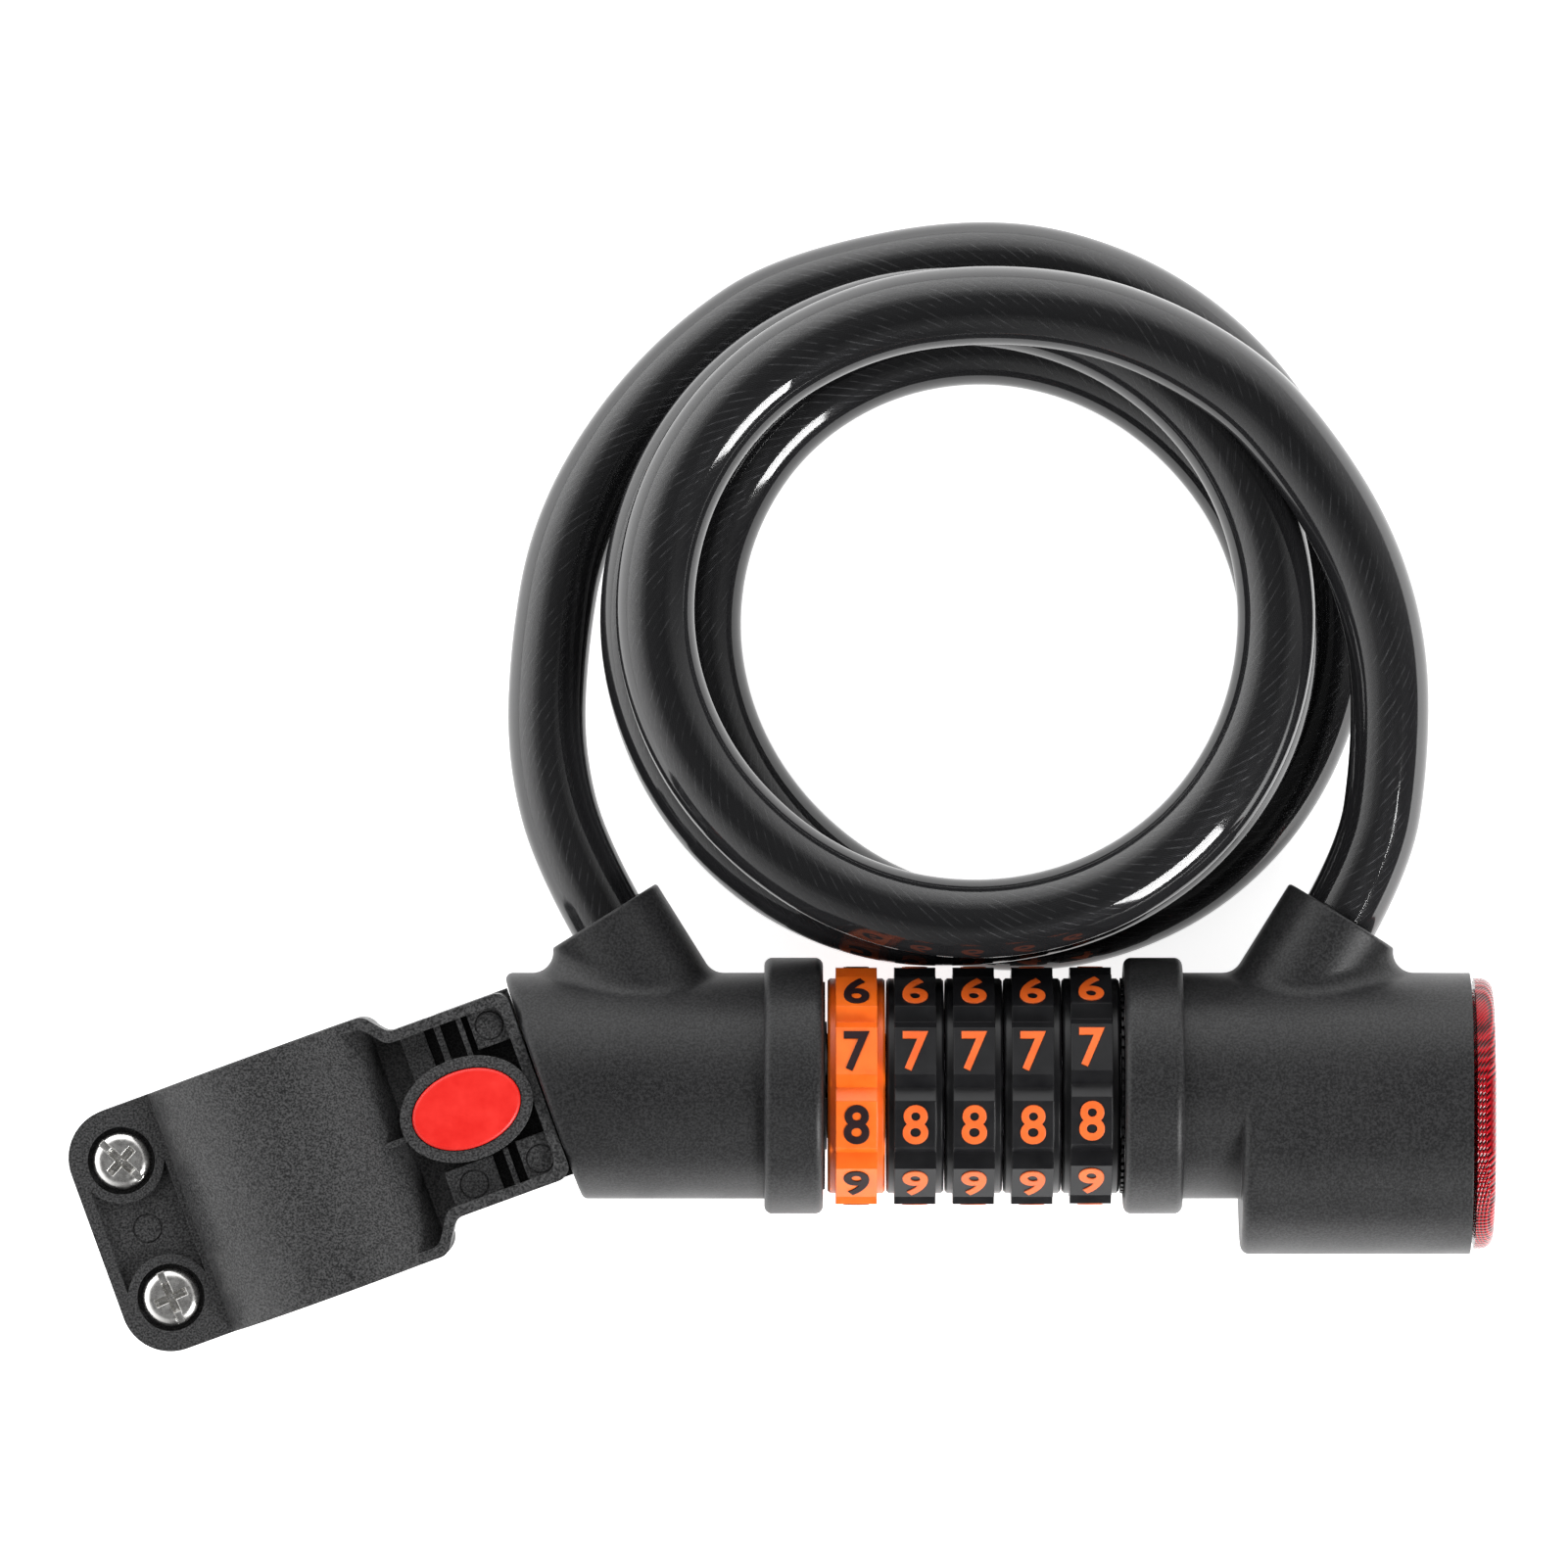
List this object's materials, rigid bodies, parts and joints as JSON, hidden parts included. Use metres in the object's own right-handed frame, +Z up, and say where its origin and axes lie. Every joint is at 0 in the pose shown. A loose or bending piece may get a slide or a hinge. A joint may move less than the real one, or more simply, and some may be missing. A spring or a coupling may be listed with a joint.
{
  "type": "bicycle cable lock",
  "caption": "Bicycle cable lock with combination dials, a tail light in its end, a coiled cable and a quick-release bracket that clamps a seat post.",
  "frame": {"origin": "bottom centre of the lock and its bracket without the cable, where the collars rest", "axes": "+X along the dials' axis towards the tail light, +Y towards the cable's coil, +Z up, with the lock lying on its collars"},
  "size_m": [0.2178, 0.1732, 0.0436],
  "materials": {
    "charcoal_shell": "fine sparkle texture",
    "orange_dial": "satin",
    "black_dial": "satin",
    "zinc": "as cast",
    "hard_steel": "turned",
    "spring_steel": "bright",
    "nickel": "nickel plated",
    "red_lens": "moulded prisms",
    "tray": "moulded",
    "board": "solder mask",
    "led": "clear",
    "jacket": "smoke-clear gloss",
    "bracket_black": "moulded satin",
    "liner_rubber": "matte",
    "button_red": "satin"
  },
  "bodies": {
    "lock_body": {"lock_housing": "charcoal_shell", "lock_collar": "charcoal_shell", "cable_anchor": "zinc", "lock_ferrule": "hard_steel", "dial_core": "zinc", "core_nut": "zinc", "click_spring": "spring_steel", "click_ring": "black_dial", "light_tray": "tray", "battery_cells": "nickel", "battery_contact": "spring_steel", "led_board": "board", "leds": "led", "light_switch": "tray", "cable_coil": "jacket", "cable_lead_lock": "jacket"},
    "plug_body": {"plug_housing": "charcoal_shell", "plug_collar": "charcoal_shell", "plug_seal": "liner_rubber", "pin_anchor": "zinc", "plug_ferrule": "hard_steel", "locking_pin": "hard_steel", "cable_lead_plug": "jacket"},
    "bracket": {"bracket_front": "bracket_black", "bracket_back": "bracket_black", "front_liner": "liner_rubber", "back_liner": "liner_rubber", "button_spring": "spring_steel", "clamp_screws": "nickel", "clamp_nuts": "nickel", "hinge_pin": "hard_steel"},
    "release_button": {"release_button": "button_red"},
    "light_lens": {"lens": "red_lens"},
    "dial_1": {"dial_1": "orange_dial", "code_ring_1": "zinc"},
    "dial_2": {"dial_2": "black_dial", "code_ring_2": "zinc"},
    "dial_3": {"dial_3": "black_dial", "code_ring_3": "zinc"},
    "dial_4": {"dial_4": "black_dial", "code_ring_4": "zinc"},
    "dial_5": {"dial_5": "black_dial", "code_ring_5": "zinc"}
  },
  "joints": [
    {"name": "dial_1_turn", "type": "hinge", "parent": "lock_body", "child": "dial_1", "pos_m": [0.0115, 0.00485, 0.0196], "axis": [1, 0, 0], "continuous": true},
    {"name": "dial_2_turn", "type": "hinge", "parent": "lock_body", "child": "dial_2", "pos_m": [0.02045, 0.00485, 0.0196], "axis": [1, 0, 0], "continuous": true},
    {"name": "dial_3_turn", "type": "hinge", "parent": "lock_body", "child": "dial_3", "pos_m": [0.0294, 0.00485, 0.0196], "axis": [1, 0, 0], "continuous": true},
    {"name": "dial_4_turn", "type": "hinge", "parent": "lock_body", "child": "dial_4", "pos_m": [0.03835, 0.00485, 0.0196], "axis": [1, 0, 0], "continuous": true},
    {"name": "dial_5_turn", "type": "hinge", "parent": "lock_body", "child": "dial_5", "pos_m": [0.0473, 0.00485, 0.0196], "axis": [1, 0, 0], "continuous": true},
    {"name": "plug_slide", "type": "slide", "parent": "lock_body", "child": "plug_body", "axis": [-1, 0, 0], "range_m": [0, 0.06]},
    {"name": "bracket_slide", "type": "slide", "parent": "plug_body", "child": "bracket", "axis": [-0.9397, -0.342, 0], "range_m": [0, 0.012]},
    {"name": "button_press", "type": "slide", "parent": "bracket", "child": "release_button", "axis": [0, 0, -1], "range_m": [0, 0.0025], "stiffness_N_per_m": 900, "springref_m": -0.001, "deforming": ["button_spring"]},
    {"name": "lens_press", "type": "slide", "parent": "lock_body", "child": "light_lens", "axis": [-1, 0, 0], "range_m": [0, 0.0005], "stiffness_N_per_m": 3000, "springref_m": -0.0005}
  ]
}
